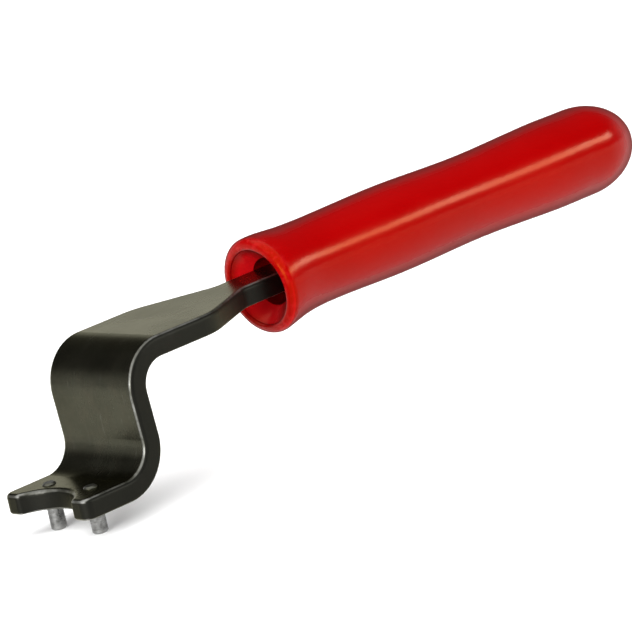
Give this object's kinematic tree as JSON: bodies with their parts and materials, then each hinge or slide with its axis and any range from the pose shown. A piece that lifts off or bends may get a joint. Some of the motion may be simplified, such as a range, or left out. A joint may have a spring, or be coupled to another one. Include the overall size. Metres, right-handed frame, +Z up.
{
  "type": "offset two-pin spanner",
  "caption": "Hand spanner with a cranked flat steel bar, a forked foot, parallel drive pins under the foot and a rounded moulded grip on the tang.",
  "frame": {"origin": "midway between the two pins, on the underside of the foot where the tool seats", "axes": "+Y along the handle away from the foot, +X across the bar, +Z up, with the pins pointing down"},
  "size_m": [0.032, 0.2164, 0.0524],
  "materials": {
    "blackened_steel": "black oxide, worn to a dull olive grey sheen",
    "ground_steel": "ground and polished",
    "red_plastic": "glossy, smooth moulded"
  },
  "bodies": {
    "root": {"wrench_bar": "blackened_steel", "pin_left": "ground_steel", "pin_right": "ground_steel", "grip": "red_plastic"}
  },
  "joints": []
}
